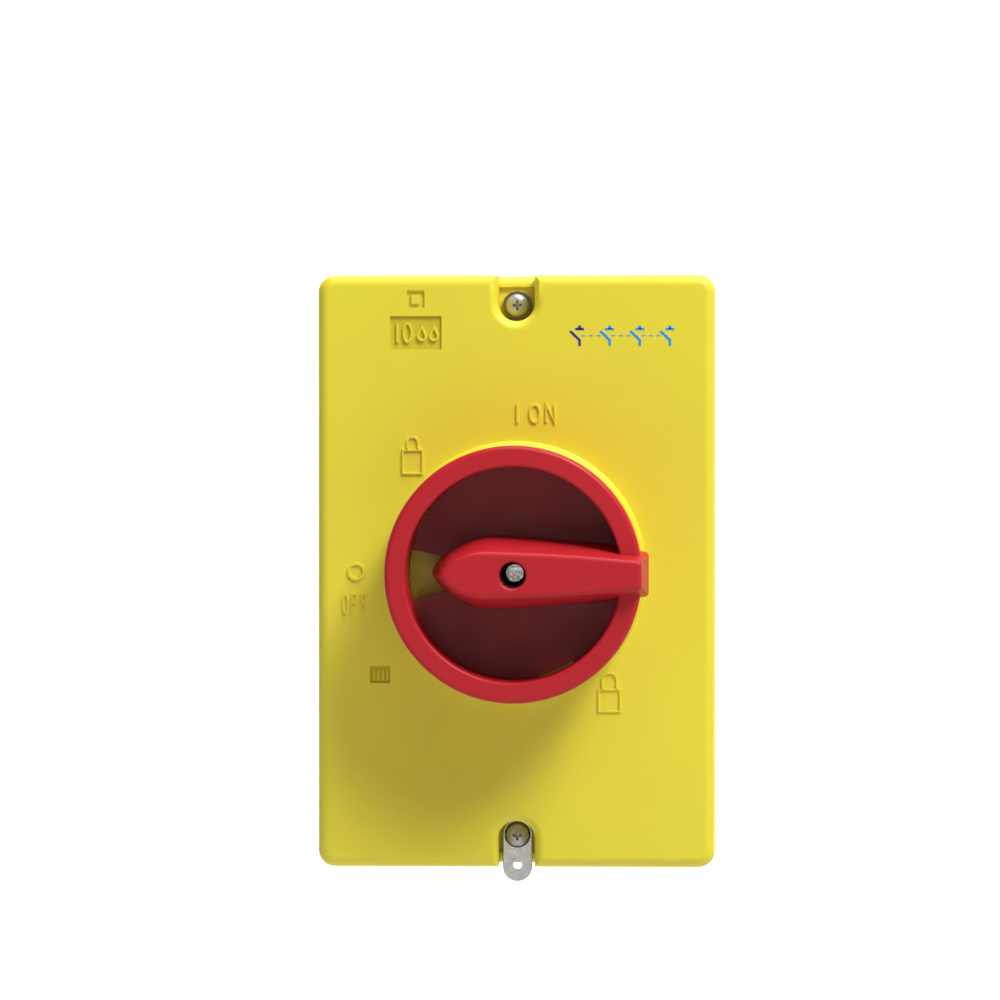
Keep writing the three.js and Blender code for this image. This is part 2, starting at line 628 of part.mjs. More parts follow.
// Cuts that round off the outer edge of a pocket's lip.
function lipRounding(sign) {
  const { radius, facets } = POCKET_LIP;
  const [middle, low] = [HEIGHT / 2 - radius, SCREW_SEAT.depth - radius];
  const above = SCREW_SEAT.depth + 1;
  const arc = Array.from({ length: facets + 1 }, (_, step) => {
    const angle = (step / facets) * Math.PI / 2;
    return [middle + radius * Math.cos(angle), low + radius * Math.sin(angle)];
  });
  return arc.slice(1).map(([z, depth], step) => {
    const [lastZ, lastDepth] = arc[step];
    const outer = step === 0 ? lastZ + 1 : lastZ;
    const section = [[z, depth], [lastZ, lastDepth], [outer, lastDepth], [outer, above], [z, above]];
    const points = section.flatMap(([a, b]) => SIDES.map((side) => {
      return new THREE.Vector3(side.sign * POCKET_WIDTH / 2, -b, sign * a);
    }));
    return solid(new ConvexGeometry(points));
  });
}

// What is cut away for one end's screw pocket.
function pocketCutters(sign) {
  const above = FACE_DEPTH + 1;
  const [start, end] = [POCKET_LIP.from - 0.1, HEIGHT / 2 + 2];
  return [
    uPocket(sign, POCKET_WIDTH / 2, POCKET_LIP.from, POCKET_FLOOR_DEPTH, above),
    block(POCKET_WIDTH, end - start, SCREW_SEAT.depth, above, 0, sign * (start + end) / 2),
    ...lipRounding(sign),
  ];
}

// The raised bar at ON and the raised ring at OFF.
function positionMarks() {
  const [rear, front] = [FACE_DEPTH - 1, FACE_DEPTH + MARK_HEIGHT];
  const ring = (radius, end) => rod(radius, rear, end, OFF_RING.x, OFF_RING.z, 24);
  return [
    block(ON_BAR.width, ON_BAR.height, rear, front, ON_BAR.x, ON_BAR.z),
    cut(ring(OFF_RING.outer, front), ring(OFF_RING.inner, front + 1)),
  ];
}

function cover() {
  const blank = coverBlank();
  const lipInset = 2 * LIP_THICKNESS;
  const lip = slab(roundedRect(WIDTH - lipInset, HEIGHT - lipInset, 2.8), COVER_REAR - 1, LEDGE_DEPTH);
  const inset = 2 * WALL_INNER_INSET;
  const hollow = slab(roundedRect(WIDTH - inset, HEIGHT - inset, 1.6), COVER_REAR, COVER_INNER_DEPTH);
  const wellRear = POCKET_FLOOR_DEPTH - POCKET_BOTTOM;
  const wellWalls = ENDS.map(({ sign }) => {
    const [halfWidth, end] = [POCKET_WIDTH / 2 + POCKET_WALL, HEIGHT / 2 + 2];
    return uPocket(sign, halfWidth, end, wellRear, FACE_DEPTH - 1).intersect(blank);
  });
  let body = union(cut(blank, lip, hollow), coverBoss(), ...positionMarks(), ...wellWalls);
  for (const { sign } of ENDS) {
    const z = sign * SCREW_HEIGHT;
    const seat = rod(SCREW_SEAT.radius, POCKET_FLOOR_DEPTH - 1, SCREW_SEAT.depth, 0, z, 24);
    const bore = rod(SCREW_RADIUS + 0.4, wellRear - 1, SCREW_SEAT.depth + 1, 0, z);
    body = cut(union(cut(body, ...pocketCutters(sign)), seat), bore);
  }
  const hubHole = rod(HUB_RADIUS + 0.5, COVER_INNER_DEPTH - 1, BOSS_DEPTH + 1, 0, 0, ROUND);
  const sealRecess = rod(SEAL_RECESS.radius, SEAL_RECESS.depth, BOSS_DEPTH + 1, 0, 0, ROUND);
  const { x, z, width, height, depth } = RATING_PANEL;
  const panel = block(width, height, FACE_DEPTH - depth, FACE_DEPTH + 1, x, z);
  const [inner, outer] = [BOSS_GROOVE.inner, BOSS_GROOVE.outer];
  const groove = cut(
    rod(outer, BOSS_GROOVE.depth, BOSS_DEPTH + 1, 0, 0, ROUND),
    rod(inner, BOSS_GROOVE.depth - 1, BOSS_DEPTH + 2, 0, 0, ROUND),
  );
  return piece('cover', cut(body, hubHole, sealRecess, panel, groove), 'yellow_plastic');
}

function handleSeal() {
  const [inner, outer] = [HUB_RADIUS + GAP, SEAL_RECESS.radius - GAP];
  const [rear, front] = [SEAL_RECESS.depth + GAP, CUP_REAR_DEPTH - GAP];
  const chamfer = 0.6;
  const ring = turned([
    [inner, rear],
    [outer, rear],
    [outer, front - chamfer],
    [outer - chamfer, front],
    [inner, front],
    [inner, rear],
  ]);
  return piece('handle_seal', ring, 'seal_rubber');
}

function sealTab() {
  const half = TAB_WIDTH / 2;
  const shape = new THREE.Shape();
  shape.absarc(0, TAB_TOP - half, half, 0, Math.PI, false);
  shape.absarc(0, TAB_BOTTOM + half, half, Math.PI, 2 * Math.PI, false);
  const blank = slab(shape, 0, TAB_THICKNESS);
  const screwHole = rod(SCREW_RADIUS + 0.5, -1, 2, 0, -SCREW_HEIGHT);
  const wireHole = rod(TAB_WIRE_HOLE.radius, -1, 2, 0, TAB_WIRE_HOLE.height);
  const tab = piece('seal_tab', cut(blank, screwHole, wireHole), 'zinc_steel');
  return place(tab, SCREW_SEAT.depth + GAP);
}

function coverScrews() {
  const seat = SCREW_SEAT.depth + TAB_THICKNESS + 2 * GAP;
  const { length, headRadius, headHeight } = COVER_SCREW;
  return ENDS.map(({ name, sign }) => {
    const shape = crossScrew(SCREW_RADIUS, length, headRadius, headHeight);
    const screw = piece(`cover_screw_${name}`, shape, 'zinc_steel');
    return place(screw, seat, 0, sign * SCREW_HEIGHT);
  });
}

function coverScrewWasher() {
  const ring = cut(rod(WASHER_RADIUS, 0, TAB_THICKNESS), rod(SCREW_RADIUS + 0.5, -1, 2));
  return place(piece('cover_screw_washer', ring, 'zinc_steel'), SCREW_SEAT.depth + GAP, 0, SCREW_HEIGHT);
}

function coverAssembly() {
  const group = new THREE.Group();
  group.add(cover(), handleSeal(), sealTab(), coverScrewWasher(), ...coverScrews());
  return group;
}

// ---- Handle -------------------------------------------------------------------------------------

function cupBlank() {
  return turned([
    [0, CUP_REAR_DEPTH],
    [CUP_RADIUS - 1, CUP_REAR_DEPTH],
    [CUP_RADIUS, CUP_FRONT_DEPTH - 1.2],
    [CUP_RADIUS - 0.4, CUP_FRONT_DEPTH - 0.3],
    [CUP_RADIUS - 1, CUP_FRONT_DEPTH],
    [CUP_INNER_RADIUS + 0.5, CUP_FRONT_DEPTH],
    [CUP_INNER_RADIUS, CUP_FRONT_DEPTH - 0.5],
    [CUP_INNER_RADIUS, CUP_FLOOR_DEPTH],
    [0, CUP_FLOOR_DEPTH],
  ], BIG_ROUND);
}

// The grip's outline at one level: a rounded pointer at -X that narrows to a square end at +X.
function gripOutline(level) {
  const { tip, shoulder, half, endHalf, end, corner, depth } = level;
  const shape = new THREE.Shape();
  shape.moveTo(tip, 0);
  shape.bezierCurveTo(tip + 0.6, -half * 0.45, shoulder - 6, -half, shoulder, -half);
  shape.lineTo(end - corner, -endHalf);
  shape.quadraticCurveTo(end, -endHalf, end, corner - endHalf);
  shape.lineTo(end, endHalf - corner);
  shape.quadraticCurveTo(end, endHalf, end - corner, endHalf);
  shape.lineTo(shoulder, half);
  shape.bezierCurveTo(shoulder - 6, half, tip + 0.6, half * 0.45, tip, 0);
  return shape.getPoints(ARC_STEPS).map((point) => new THREE.Vector3(point.x, -depth, point.y));
}

const GRIP_EDGE_DEPTH = GRIP_FRONT_DEPTH - 0.8;
const GRIP_LEVELS = [
  { depth: CUP_FLOOR_DEPTH - 0.5, tip: -21, shoulder: -5, half: 9.3, endHalf: 6.3, end: 30.5, corner: 1.4 },
  { depth: GRIP_EDGE_DEPTH, tip: -18.1, shoulder: -6.2, half: 5.9, endHalf: 3.9, end: 31.9, corner: 1 },
  { depth: GRIP_FRONT_DEPTH, tip: -17.3, shoulder: -6.2, half: 5.2, endHalf: 3.2, end: 31.2, corner: 0.7 },
];
const OVERHANG_START = 27;
const OVERHANG_LEVELS = [
  { depth: 91, half: 5.4, end: 33.6, corner: 1 },
  { depth: GRIP_EDGE_DEPTH, half: 3.9, end: 31.9, corner: 1 },
  { depth: GRIP_FRONT_DEPTH, half: 3.2, end: 31.2, corner: 0.7 },
];

// The grip's end, which sticks out past the ring and stops short of the cover.
function gripOverhang() {
  const points = OVERHANG_LEVELS.flatMap(({ depth, half, end, corner }) => SIDES.flatMap(({ sign }) => {
    const outline = [[OVERHANG_START, half], [end - corner, half], [end, half - corner]];
    return outline.map(([x, z]) => new THREE.Vector3(x, -depth, sign * z));
  }));
  return solid(new ConvexGeometry(points));
}

function handleBody() {
  const grip = solid(new ConvexGeometry(GRIP_LEVELS.flatMap(gripOutline)));
  const hub = rod(HUB_RADIUS, HUB_REAR_DEPTH, CUP_REAR_DEPTH + 1, 0, 0, ROUND);
  const shoulder = SHAFT_SHOULDER_DEPTH + 0.5;
  const socket = block(SHAFT_SIDE + 0.7, SHAFT_SIDE + 0.7, HUB_REAR_DEPTH - 1, shoulder);
  const tipBore = rod(SHAFT_TIP_RADIUS + 0.35, shoulder - 1, CUP_FLOOR_DEPTH);
  const bore = rod(GRIP_BORE_RADIUS, CUP_FLOOR_DEPTH - 1, GRIP_FRONT_DEPTH + 1, 0, 0, 24);
  const window = slab(
    ringSector(WINDOW.inner, WINDOW.outer, WINDOW.centre, WINDOW.half),
    CUP_REAR_DEPTH - 1,
    CUP_FLOOR_DEPTH + 1,
  );
  const slots = PADLOCK_SLOTS.map(({ centre }) => {
    const { inner, outer, half, toDepth } = PADLOCK_SLOT;
    return slab(ringSector(inner, outer, centre, half), CUP_REAR_DEPTH - 1, toDepth);
  });
  const cup = cut(cupBlank(), window, ...slots);
  const body = union(cup, grip, gripOverhang(), hub);
  return piece('handle', cut(body, socket, tipBore, bore), 'red_plastic');
}

function retainingRing() {
  const front = COVER_INNER_DEPTH - GAP;
  const ring = cut(
    rod(12, front - 1.6, front, 0, 0, ROUND),
    rod(HUB_RADIUS + GAP, front - 3, front + 1, 0, 0, ROUND),
  );
  return piece('handle_retaining_ring', ring, 'zinc_steel');
}

// ---- Assembly -----------------------------------------------------------------------------------

const isolator = new THREE.Group();
isolator.add(rearHousing(), coverGasket(), dinRail(), ...railScrews(), ...earthTerminal());
isolator.add(switchAssembly(), coverAssembly(), handleBody(), retainingRing());

export default isolator;
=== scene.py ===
import json
import math

import bmesh
import bpy
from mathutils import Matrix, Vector


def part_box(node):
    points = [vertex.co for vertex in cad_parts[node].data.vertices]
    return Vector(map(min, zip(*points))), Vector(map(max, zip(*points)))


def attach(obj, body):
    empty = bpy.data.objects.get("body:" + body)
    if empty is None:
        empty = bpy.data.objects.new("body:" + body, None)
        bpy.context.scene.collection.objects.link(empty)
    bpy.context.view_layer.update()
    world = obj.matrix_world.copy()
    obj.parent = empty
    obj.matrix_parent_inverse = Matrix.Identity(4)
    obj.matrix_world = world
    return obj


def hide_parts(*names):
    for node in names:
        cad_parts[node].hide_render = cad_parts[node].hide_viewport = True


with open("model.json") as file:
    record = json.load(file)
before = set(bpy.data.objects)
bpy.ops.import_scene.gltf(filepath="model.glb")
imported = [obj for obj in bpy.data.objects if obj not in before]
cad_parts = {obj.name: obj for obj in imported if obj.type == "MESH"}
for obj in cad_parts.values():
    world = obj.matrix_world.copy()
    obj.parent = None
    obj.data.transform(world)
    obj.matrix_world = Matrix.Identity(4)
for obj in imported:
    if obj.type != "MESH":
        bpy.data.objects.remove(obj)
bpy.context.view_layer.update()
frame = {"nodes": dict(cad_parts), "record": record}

# Looks of the enclosed rotary isolator. Pieces are drawn in millimetres as seen from the front:
# x to the right, z up, and depth from the wall towards the front. at() turns that into the frame.

MM = 0.001
NODES = frame["nodes"]


def extent(node):
    """A CAD node's sides in millimetres: x, z and depth, each as (lowest, highest)."""
    lo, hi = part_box(node)
    return (lo.x / MM, hi.x / MM), (lo.z / MM, hi.z / MM), (-hi.y / MM, -lo.y / MM)


# ---- Sizes, from the frame ------------------------------------------------------------------------

COVER_X, COVER_Z, COVER_DEPTH = extent("cover")
WIDTH = COVER_X[1] - COVER_X[0]
HEIGHT = COVER_Z[1] - COVER_Z[0]
COVER_REAR, BOSS_FRONT = COVER_DEPTH
GAP = 0.3  # what is left free between pieces that meet
PAST = 1.0  # how far a solid reaches past the surface that it cuts or is joined to
MOULDED_EDGE = 0.18  # the rounding of a plastic piece's sharp edges
BOSS_HEIGHT = 3.0
FACE = BOSS_FRONT - BOSS_HEIGHT
EDGE_FILLET = 2.8
CORNER_RADIUS = 4.3
FRONT_THICKNESS = 3.0
COVER_CAVITY = FACE - FRONT_THICKNESS
WALL_INSET = 3.6
WALL_CORNER = 1.6
LIP_INSET = 1.5
LIP_CORNER = 2.8
LEDGE = extent("cover_gasket")[2][1] + GAP
BOSS_RADIUS = 32.7
BOSS_GROOVE = (16.0, 29.0, 72.8)  # inner and outer radius, and depth of its floor
HUB_HOLE = 9.5
SEAL_RADIUS = 13.6
SEAL_FLOOR = extent("handle_seal")[2][0] - GAP

POCKET_HALF = 4.65
POCKET_CENTRE = 68.0
POCKET_FLARE = 2.4
POCKET_WALL = 2.2
POCKET_BOTTOM = 3.0
TAB_X, TAB_Z, TAB_DEPTH = extent("seal_tab")
SEAT_DEPTH = TAB_DEPTH[0] - GAP
SEAT_RADIUS = 3.9
SEAT_HEIGHT = 1.0
POCKET_FLOOR = SEAT_DEPTH - SEAT_HEIGHT
LIP_FROM = 72.2  # where the pocket's outer lip starts, from the cover's centre
LIP_RADIUS = 2.6
WIRE_HOLE = 1.15
WIRE_HOLE_INSET = 4.2
WIRE_HOLE_Z = TAB_Z[0] + WIRE_HOLE_INSET
SCREW_Z = sum(extent("cover_screw_top")[1]) / 2
SCREW_HOLE = 2.4

HANDLE_DEPTH = extent("handle")[2]
CUP_GAP = 0.4
CUP_REAR = BOSS_FRONT + CUP_GAP
CUP_THICKNESS = 3.0
CUP_FLOOR = CUP_REAR + CUP_THICKNESS
GRIP_FRONT = HANDLE_DEPTH[1]
GRIP_RISE = 4.6
CUP_FRONT = GRIP_FRONT - GRIP_RISE
CUP_RADIUS = extent("handle")[1][1]
CUP_INNER = 26.8
HUB_REAR = HANDLE_DEPTH[0]
HUB_RADIUS = 9.0
BORE_RADIUS = 3.3
SHAFT_SHOULDER = 72.0
SHAFT_SIDE = 6.5
SHAFT_SOCKET = 7.2
TIP_RADIUS = 2.5
TIP_BORE = 2.6


# ---- Mesh making ----------------------------------------------------------------------------------

def at(x, z, depth):
    """A point in the frame, in metres."""
    return Vector((x, -depth, z)) * MM


def mesh_object(name, points, faces):
    """An object from (x, z, depth) points and faces, with every face turned outwards."""
    mesh = bpy.data.meshes.new(name)
    mesh.from_pydata([at(*p) for p in points], [], faces)
    bm = bmesh.new()
    bm.from_mesh(mesh)
    bmesh.ops.remove_doubles(bm, verts=bm.verts, dist=1e-7)
    bmesh.ops.recalc_face_normals(bm, faces=bm.faces)
    bm.to_mesh(mesh)
    bm.free()
    obj = bpy.data.objects.new(name, mesh)
    bpy.context.scene.collection.objects.link(obj)
    return obj


def loft(name, rings):
    """A closed solid through rings of (x, z, depth) points that all have the same count."""
    count = len(rings[0])
    points = [p for ring in rings for p in ring]
    faces = [list(range(count)), list(range(len(points) - count, len(points)))]
    for level in range(len(rings) - 1):
        for i in range(count):
            j = (i + 1) % count
            a, b = level * count, (level + 1) * count
            faces.append([a + i, a + j, b + j, b + i])
    return mesh_object(name, points, faces)


def prism(name, outline, rear, front):
    return loft(name, [[(x, z, depth) for x, z in outline] for depth in (rear, front)])


def lathe(name, profile, steps, centre=(0.0, 0.0)):
    """Turns a closed profile of (radius, depth) round the depth axis."""
    points, faces = [], []
    for i in range(steps):
        angle = 2 * math.pi * i / steps
        cx, cz = math.cos(angle), math.sin(angle)
        points += [(centre[0] + r * cx, centre[1] + r * cz, depth) for r, depth in profile]
    count = len(profile)
    for i in range(steps):
        a, b = i * count, (i + 1) % steps * count
        for k in range(count):
            m = (k + 1) % count
            if profile[k][0] > 0 or profile[m][0] > 0:
                faces.append([a + k, a + m, b + m, b + k])
    obj = mesh_object(name, points, faces)
    bm = bmesh.new()
    bm.from_mesh(obj.data)
    bmesh.ops.dissolve_degenerate(bm, edges=bm.edges, dist=1e-8)
    bmesh.ops.recalc_face_normals(bm, faces=bm.faces)
    bm.to_mesh(obj.data)
    bm.free()
    return obj


def arc(cx, cy, radius, start, end, steps):
    """Points round a centre, from one angle to another in degrees, both ends included."""
    turn = [math.radians(start + (end - start) * i / steps) for i in range(steps + 1)]
    return [(cx + radius * math.cos(a), cy + radius * math.sin(a)) for a in turn]


def rounded_rect(width, height, radius, steps=10, cx=0.0, cz=0.0):
    x, z = width / 2 - radius, height / 2 - radius
    corners = [(x, z, 0), (-x, z, 90), (-x, -z, 180), (x, -z, 270)]
    return [p for px, pz, a in corners for p in arc(cx + px, cz + pz, radius, a, a + 90, steps)]


def u_outline(half, sign, end=None, steps=28):
    """The screw pocket's outline: round at its inner end and square at the other."""
    end = HEIGHT / 2 + 3 * PAST if end is None else end
    bend = arc(0, sign * POCKET_CENTRE, half, 0, -180 * sign, steps)
    return [(half, sign * end), *bend, (-half, sign * end)]


def sector(inner, outer, centre, half, steps=16):
    near = arc(0, 0, inner, centre + half, centre - half, steps)
    return arc(0, 0, outer, centre - half, centre + half, steps) + near


def disc(radius, x=0.0, z=0.0, steps=64):
    return arc(x, z, radius, 0, 360 * (steps - 1) / steps, steps - 1)


def combine(target, tool, operation):
    """Joins, cuts or intersects target with tool, which is used up."""
    modifier = target.modifiers.new("join", "BOOLEAN")
    modifier.operation = operation
    modifier.solver = "EXACT"
    modifier.object = tool
    bpy.context.view_layer.update()
    evaluated = target.evaluated_get(bpy.context.evaluated_depsgraph_get())
    result = bpy.data.meshes.new_from_object(evaluated)
    target.modifiers.clear()
    old = target.data
    target.data = result
    bpy.data.meshes.remove(old)
    bpy.data.objects.remove(tool)
    return target


def cut(target, *tools):
    for tool in tools:
        combine(target, tool, "DIFFERENCE")
    return target


def join(target, *tools):
    for tool in tools:
        combine(target, tool, "UNION")
    return target


def smooth_group():
    """A node group that shades a mesh smooth, for use as a modifier."""
    group = bpy.data.node_groups.new("shade_smooth", "GeometryNodeTree")
    group.interface.new_socket("Geometry", in_out="INPUT", socket_type="NodeSocketGeometry")
    group.interface.new_socket("Geometry", in_out="OUTPUT", socket_type="NodeSocketGeometry")
    start = group.nodes.new("NodeGroupInput")
    shade = group.nodes.new("GeometryNodeSetShadeSmooth")
    end = group.nodes.new("NodeGroupOutput")
    group.links.new(start.outputs[0], shade.inputs["Geometry"])
    group.links.new(shade.outputs[0], end.inputs[0])
    return group


SMOOTH = smooth_group()


def soften(obj, radius, segments=2, angle=38):
    """Rounds an object's sharp edges by a small radius and shades it smooth."""
    weld = obj.modifiers.new("weld", "WELD")
    weld.merge_threshold = 2e-6
    flat = obj.modifiers.new("flat", "DECIMATE")
    flat.decimate_type = "DISSOLVE"
    flat.angle_limit = math.radians(0.3)
    if radius:
        bevel = obj.modifiers.new("bevel", "BEVEL")
        bevel.width = radius * MM
        bevel.segments = segments
        bevel.limit_method = "ANGLE"
        bevel.angle_limit = math.radians(angle)
    obj.modifiers.new("smooth", "NODES").node_group = SMOOTH
    normals = obj.modifiers.new("normals", "WEIGHTED_NORMAL")
    normals.weight = 80
    normals.keep_sharp = True
    return obj


# ---- Materials ------------------------------------------------------------------------------------

def srgb(red, green, blue):
    """A colour given as 0-255 screen values, as linear light."""
    def linear(value):
        c = value / 255
        return c / 12.92 if c <= 0.04045 else ((c + 0.055) / 1.055) ** 2.4
    return (linear(red), linear(green), linear(blue), 1.0)


def scaled(colour, factor):
    return tuple(min(1.0, c * factor) for c in colour[:3]) + (1.0,)


class Surface:
    """A material with helpers that add and link its nodes."""

    def __init__(self, name):
        self.material = bpy.data.materials.new(name)
        self.material.use_nodes = True
        self.tree = self.material.node_tree
        self.shader = self.tree.nodes["Principled BSDF"]
        self.coords = self.tree.nodes.new("ShaderNodeTexCoord").outputs["Object"]

    def node(self, kind, **inputs):
        made = self.tree.nodes.new(kind)
        for key, value in inputs.items():
            made.inputs[key.replace("_", " ")].default_value = value
        return made

    def link(self, source, target):
        self.tree.links.new(source, target)

    def noise(self, scale, detail=3.0, stretch=(1, 1, 1)):
        """Noise over the object: scale is in features per metre."""
        spread = self.node("ShaderNodeMapping")
        spread.inputs["Scale"].default_value = stretch
        self.link(self.coords, spread.inputs["Vector"])
        texture = self.node("ShaderNodeTexNoise", Scale=scale, Detail=detail)
        self.link(spread.outputs["Vector"], texture.inputs["Vector"])
        return texture.outputs["Fac"]

    def remap(self, source, low, high, start=0.3, end=0.7):
        spread = self.node("ShaderNodeMapRange")
        for key, value in (("From Min", start), ("From Max", end), ("To Min", low), ("To Max", high)):
            spread.inputs[key].default_value = value
        self.link(source, spread.inputs["Value"])
        return spread.outputs["Result"]

    def tint(self, source, low, high):
        """Blends between two colours."""
        mix = self.node("ShaderNodeMix")
        mix.data_type = "RGBA"
        mix.inputs[6].default_value = low
        mix.inputs[7].default_value = high
        self.link(source, mix.inputs[0])
        return mix.outputs[2]

    def inside(self, radius, depth):
        """1 within a radius of the depth axis and behind a depth, both in millimetres, and 0 outside."""
        edge, slope = 0.3, 1.5  # how gradually the 0 turns into a 1, across and along the axis
        flat = self.node("ShaderNodeVectorMath")
        flat.operation = "MULTIPLY"
        flat.inputs[1].default_value = (1.0, 0.0, 1.0)
        length = self.node("ShaderNodeVectorMath")
        length.operation = "LENGTH"
        split = self.node("ShaderNodeSeparateXYZ")
        both = self.node("ShaderNodeMath")
        both.operation = "MULTIPLY"
        self.link(self.coords, flat.inputs[0])
        self.link(flat.outputs["Vector"], length.inputs[0])
        self.link(self.coords, split.inputs[0])
        near = self.remap(length.outputs["Value"], 1, 0, (radius - edge) * MM, radius * MM)
        behind = self.remap(split.outputs["Y"], 0, 1, -depth * MM, (slope - depth) * MM)
        self.link(near, both.inputs[0])
        self.link(behind, both.inputs[1])
        return both.outputs[0]

    def colour(self, source):
        self.link(source, self.shader.inputs["Base Color"])

    def roughness(self, source):
        self.link(source, self.shader.inputs["Roughness"])

    def bump(self, layers):
        """layers: (height output, strength, distance in millimetres), from coarse to fine."""
        normal = None
        for height, strength, distance in layers:
            bump = self.node("ShaderNodeBump", Strength=strength, Distance=distance * MM)
            self.link(height, bump.inputs["Height"])
            if normal:
                self.link(normal, bump.inputs["Normal"])
            normal = bump.outputs["Normal"]
        self.link(normal, self.shader.inputs["Normal"])


# Noise scales of moulded plastic, in features per metre.
CLOUDS = 28
GLOSS = 160
WAVES = 45
GRAIN = 2600


def moulded_surface(s, glossiest, dullest, grain):
    """Uneven gloss, faint flow waves and fine spark-eroded grain."""
    s.roughness(s.remap(s.noise(GLOSS, 5), glossiest, dullest))
    s.bump([(s.noise(WAVES, 2), 0.12, 0.15), (s.noise(GRAIN, 3), grain, 0.03)])


def plastic(name, colour, roughness, grain=0.3, shade=0.05, specular=0.5):
    """Moulded plastic, slightly uneven in its colour."""
    s = Surface(name)
    s.shader.inputs["Specular IOR Level"].default_value = specular
    cloud = s.remap(s.noise(CLOUDS, 4), 0, 1)
    s.colour(s.tint(cloud, scaled(colour, 1 - shade), scaled(colour, 1 + shade)))
    moulded_surface(s, roughness - 0.05, roughness + 0.06, grain)
    return s.material


def handle_plastic():
    """The handle's red, with painted shade on the floor of its bowl: a darker red there, with a pale
    painted sheen over it.
    """
    # floor is the colour of painted shade and a painted pale sheen on the bowl's floor: the red made
    # darker and greyer
    red, floor = srgb(186, 33, 42), srgb(142, 54, 57)
    s = Surface("red_plastic")
    s.shader.inputs["Specular IOR Level"].default_value = 0.24
    cloud = s.remap(s.noise(CLOUDS, 4), 0, 1)
    smooth = s.tint(cloud, scaled(red, 0.96), scaled(red, 1.04))
    painted_floor_shade = s.tint(cloud, scaled(floor, 0.94), scaled(floor, 1.06))
    above_floor = 2.0
    # Within the bowl, up to 2 mm above its floor, the plain red (smooth) turns into the painted floor
    # shade
    blend = s.tint(s.inside(CUP_INNER, CUP_FLOOR + above_floor), red, floor)
    low, high = blend.node.inputs[6], blend.node.inputs[7]
    s.link(smooth, low)
    s.link(painted_floor_shade, high)
    s.colour(blend)
    moulded_surface(s, 0.35, 0.46, 0.18)
    return s.material


def metal(name, colour, roughness, stretch=(1, 1, 6), scratches=0.25, metallic=1.0):
    """Plated or drawn metal: drawing lines, spangle in the colour and uneven polish."""
    s = Surface(name)
    s.shader.inputs["Metallic"].default_value = metallic
    spangle = s.remap(s.noise(420, 4), 0, 1)
    s.colour(s.tint(spangle, scaled(colour, 0.86), scaled(colour, 1.08)))
    lines = s.noise(1500, 3, stretch)
    s.roughness(s.remap(lines, roughness - 0.07, roughness + 0.12))
    s.bump([(s.noise(300, 2), 0.15, 0.05), (lines, scratches, 0.02)])
    return s.material


def rubber(name, colour):
    s = Surface(name)
    s.shader.inputs["Specular IOR Level"].default_value = 0.35
    s.colour(s.tint(s.remap(s.noise(120, 4), 0, 1), scaled(colour, 0.7), scaled(colour, 1.5)))
    s.roughness(s.remap(s.noise(700, 4), 0.68, 0.9))
    s.bump([(s.noise(1800, 3), 0.35, 0.04)])
    return s.material


YELLOW = srgb(229, 214, 52)
MATERIALS = {
    "yellow_plastic": plastic("yellow_plastic", YELLOW, 0.42, grain=0.22, shade=0.02),
    "red_plastic": handle_plastic(),
    "housing_plastic": plastic("housing_plastic", srgb(52, 54, 58), 0.5, grain=0.4, shade=0.08),
    "switch_plastic": plastic("switch_plastic", srgb(70, 73, 79), 0.46, grain=0.25, shade=0.06),
    "rotor_plastic": plastic("rotor_plastic", srgb(222, 216, 198), 0.45, grain=0.2, shade=0.04),
    "seal_rubber": rubber("seal_rubber", srgb(38, 38, 40)),
    "zinc_steel": metal("zinc_steel", srgb(206, 204, 200), 0.3, scratches=0.1),
    "screw_steel": metal("screw_steel", srgb(186, 184, 180), 0.38, (1, 1, 1), 0.08, 0.6),
    # A rougher, coarser-grained yellow for the panel floors; its darker colour is painted shade in the
    # recesses
    "grained_yellow_painted_shade": plastic("grained_yellow_painted_shade", srgb(206, 190, 44), 0.6, 0.5, 0.04, specular=0.3),
    "turned_steel": metal("turned_steel", srgb(228, 226, 222), 0.32, stretch=(1, 1, 1), scratches=0.02),
    # A rougher steel, darkened and tinted olive-brown as painted shade for the washer in its screw
    # pocket
    "dull_steel_painted_shade": metal("dull_steel_painted_shade", srgb(128, 122, 104), 0.5, stretch=(1, 1, 1), scratches=0.1),
    "brass": metal("brass", srgb(206, 170, 86), 0.32, stretch=(6, 1, 1)),
    "copper": metal("copper", srgb(196, 122, 84), 0.34),
    "print_navy": plastic("print_navy", srgb(22, 44, 140), 0.35, grain=0.1, shade=0.05),
    "print_blue": plastic("print_blue", srgb(14, 148, 222), 0.35, grain=0.1, shade=0.05),
}


def dress(obj, finish):
    obj.data.materials.clear()
    obj.data.materials.append(MATERIALS[finish])


def piece(obj, body, slot, *replaced, finish=None):
    """Makes obj part of the object: its material, the body it rides on and what it stands for."""
    dress(obj, finish or slot)
    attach(obj, body)
    if replaced:
        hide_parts(*replaced)
    return obj


# ---- Cover ----------------------------------------------------------------------------------------

def quarter(steps):
    """Shares (inwards, upwards) of a quarter-round edge from its side to its top."""
    turn = [math.pi / 2 * i / steps for i in range(steps + 1)]
    return [(1 - math.cos(a), math.sin(a)) for a in turn]


def cover_blank():
    levels = [(0.0, COVER_REAR)]
    levels += [(EDGE_FILLET * i, FACE - EDGE_FILLET + EDGE_FILLET * u) for i, u in quarter(10)]
    rings = []
    for inset, depth in levels:
        outline = rounded_rect(WIDTH - 2 * inset, HEIGHT - 2 * inset, CORNER_RADIUS - inset)
        rings.append([(x, z, depth) for x, z in outline])
    return loft("cover_shell", rings)


def cover_boss():
    """The raised round seat under the handle, blended into the face."""
    foot, edge, draft = 0.5, 0.8, 0.3
    fillet = arc(BOSS_RADIUS + foot, FACE + foot, foot, 270, 190, 6)
    rounded = arc(BOSS_RADIUS - draft - edge, BOSS_FRONT - edge, edge, 10, 90, 8)
    rear = COVER_CAVITY + PAST
    profile = [(0, rear), (BOSS_RADIUS + foot, rear), *fillet, *rounded, (0, BOSS_FRONT)]
    return lathe("boss", profile, 192)


